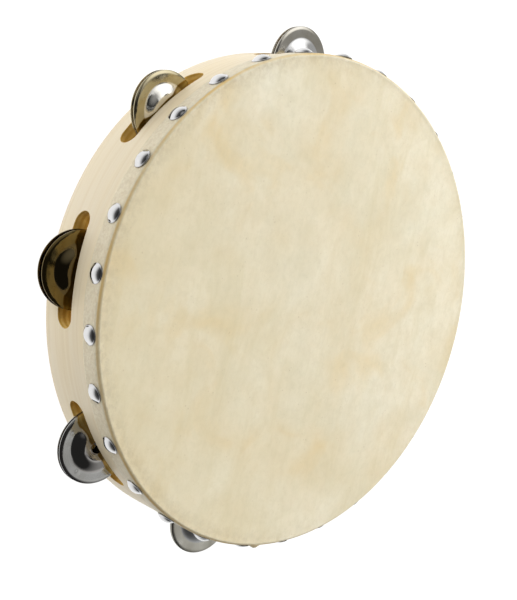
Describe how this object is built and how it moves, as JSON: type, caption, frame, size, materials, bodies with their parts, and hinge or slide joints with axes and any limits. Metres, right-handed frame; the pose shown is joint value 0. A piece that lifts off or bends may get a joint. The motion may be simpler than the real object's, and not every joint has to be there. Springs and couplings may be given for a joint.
{
  "type": "tambourine",
  "caption": "Hand-held frame drum: a tacked skin head on a bent plywood shell, with pairs of steel jingles that rattle on nails in slots through the shell.",
  "frame": {"origin": "on the shell's axis, in the plane of the open edge that the tambourine rests on", "axes": "+Z along the shell's axis, from the open edge to the playing surface; X and Y lie in the open edge's plane, and the plain grip stretch is centred 112.5 degrees from +X towards +Y"},
  "size_m": [0.2798, 0.278, 0.0455],
  "materials": {
    "shell_wood": "pale bent plywood, sanded, thin clear coat",
    "head_skin": "natural rawhide, mottled cream, satin",
    "tack_steel": "mirror-bright chrome plate",
    "jingle_steel": "nickel-plated stamped steel, bright, with fine turning lines",
    "pin_steel": "plain wire nail"
  },
  "bodies": {
    "root": {"shell": "shell_wood", "head_skin": "head_skin", "tack_01": "tack_steel", "tack_02": "tack_steel", "tack_03": "tack_steel", "tack_04": "tack_steel", "tack_05": "tack_steel", "tack_06": "tack_steel", "tack_07": "tack_steel", "tack_08": "tack_steel", "tack_09": "tack_steel", "tack_10": "tack_steel", "tack_11": "tack_steel", "tack_12": "tack_steel", "tack_13": "tack_steel", "tack_14": "tack_steel", "tack_15": "tack_steel", "tack_16": "tack_steel", "tack_17": "tack_steel", "tack_18": "tack_steel", "tack_19": "tack_steel", "tack_20": "tack_steel", "tack_21": "tack_steel", "tack_22": "tack_steel", "tack_23": "tack_steel", "tack_24": "tack_steel", "tack_25": "tack_steel", "tack_26": "tack_steel", "tack_27": "tack_steel", "tack_28": "tack_steel", "tack_29": "tack_steel"},
    "pin_1": {"jingle_pin_1": "pin_steel"},
    "front_1": {"jingle_1_front": "jingle_steel"},
    "rear_1": {"jingle_1_rear": "jingle_steel"},
    "pin_2": {"jingle_pin_2": "pin_steel"},
    "front_2": {"jingle_2_front": "jingle_steel"},
    "rear_2": {"jingle_2_rear": "jingle_steel"},
    "pin_3": {"jingle_pin_3": "pin_steel"},
    "front_3": {"jingle_3_front": "jingle_steel"},
    "rear_3": {"jingle_3_rear": "jingle_steel"},
    "pin_4": {"jingle_pin_4": "pin_steel"},
    "front_4": {"jingle_4_front": "jingle_steel"},
    "rear_4": {"jingle_4_rear": "jingle_steel"},
    "pin_5": {"jingle_pin_5": "pin_steel"},
    "front_5": {"jingle_5_front": "jingle_steel"},
    "rear_5": {"jingle_5_rear": "jingle_steel"},
    "pin_6": {"jingle_pin_6": "pin_steel"},
    "front_6": {"jingle_6_front": "jingle_steel"},
    "rear_6": {"jingle_6_rear": "jingle_steel"},
    "pin_7": {"jingle_pin_7": "pin_steel"},
    "front_7": {"jingle_7_front": "jingle_steel"},
    "rear_7": {"jingle_7_rear": "jingle_steel"},
    "pin_8": {"jingle_pin_8": "pin_steel"},
    "front_8": {"jingle_8_front": "jingle_steel"},
    "rear_8": {"jingle_8_rear": "jingle_steel"}
  },
  "joints": [
    {"name": "spin_1", "type": "hinge", "parent": "root", "child": "pin_1", "pos_m": [-0.10373, 0.06628, 0.0185], "axis": [0, 0, 1], "continuous": true},
    {"name": "slide_front_1", "type": "slide", "parent": "pin_1", "child": "front_1", "axis": [0, 0, 1], "range_m": [-0.0009, 0.00065]},
    {"name": "slide_rear_1", "type": "slide", "parent": "pin_1", "child": "rear_1", "axis": [0, 0, 1], "range_m": [-0.00145, 0.0009]},
    {"name": "spin_2", "type": "hinge", "parent": "root", "child": "pin_2", "pos_m": [-0.12163, -0.01899, 0.0185], "axis": [0, 0, 1], "continuous": true},
    {"name": "slide_front_2", "type": "slide", "parent": "pin_2", "child": "front_2", "axis": [0, 0, 1], "range_m": [-0.00095, 0.00015]},
    {"name": "slide_rear_2", "type": "slide", "parent": "pin_2", "child": "rear_2", "axis": [0, 0, 1], "range_m": [-0.00185, 0.00095]},
    {"name": "spin_3", "type": "hinge", "parent": "root", "child": "pin_3", "pos_m": [-0.07859, -0.09475, 0.0185], "axis": [0, 0, 1], "continuous": true},
    {"name": "slide_front_3", "type": "slide", "parent": "pin_3", "child": "front_3", "axis": [0, 0, 1], "range_m": [-0.00095, 0.00015]},
    {"name": "slide_rear_3", "type": "slide", "parent": "pin_3", "child": "rear_3", "axis": [0, 0, 1], "range_m": [-0.00185, 0.00095]},
    {"name": "spin_4", "type": "hinge", "parent": "root", "child": "pin_4", "pos_m": [0.00381, -0.12304, 0.0185], "axis": [0, 0, 1], "continuous": true},
    {"name": "slide_front_4", "type": "slide", "parent": "pin_4", "child": "front_4", "axis": [0, 0, 1], "range_m": [-0.00145, 0.00075]},
    {"name": "slide_rear_4", "type": "slide", "parent": "pin_4", "child": "rear_4", "axis": [0, 0, 1], "range_m": [-0.00025, 0.00145]},
    {"name": "spin_5", "type": "hinge", "parent": "root", "child": "pin_5", "pos_m": [0.08431, -0.0897, 0.0185], "axis": [0, 0, 1], "continuous": true},
    {"name": "slide_front_5", "type": "slide", "parent": "pin_5", "child": "front_5", "axis": [0, 0, 1], "range_m": [-0.0005, 0.00285]},
    {"name": "slide_rear_5", "type": "slide", "parent": "pin_5", "child": "rear_5", "axis": [0, 0, 1], "range_m": [-0.00005, 0.0005]},
    {"name": "spin_6", "type": "hinge", "parent": "root", "child": "pin_6", "pos_m": [0.12257, -0.01142, 0.0185], "axis": [0, 0, 1], "continuous": true},
    {"name": "slide_front_6", "type": "slide", "parent": "pin_6", "child": "front_6", "axis": [0, 0, 1], "range_m": [-0.0001, 0.00365]},
    {"name": "slide_rear_6", "type": "slide", "parent": "pin_6", "child": "rear_6", "axis": [0, 0, 1], "range_m": [-0.00005, 0.0001]},
    {"name": "spin_7", "type": "hinge", "parent": "root", "child": "pin_7", "pos_m": [0.09943, 0.07257, 0.0185], "axis": [0, 0, 1], "continuous": true},
    {"name": "slide_front_7", "type": "slide", "parent": "pin_7", "child": "front_7", "axis": [0, 0, 1], "range_m": [-0.00055, 0.00185]},
    {"name": "slide_rear_7", "type": "slide", "parent": "pin_7", "child": "rear_7", "axis": [0, 0, 1], "range_m": [-0.00095, 0.00055]},
    {"name": "spin_8", "type": "hinge", "parent": "root", "child": "pin_8", "pos_m": [0.02649, 0.12022, 0.0185], "axis": [0, 0, 1], "continuous": true},
    {"name": "slide_front_8", "type": "slide", "parent": "pin_8", "child": "front_8", "axis": [0, 0, 1], "range_m": [-0.00055, 0.00035]},
    {"name": "slide_rear_8", "type": "slide", "parent": "pin_8", "child": "rear_8", "axis": [0, 0, 1], "range_m": [-0.00245, 0.00055]}
  ]
}
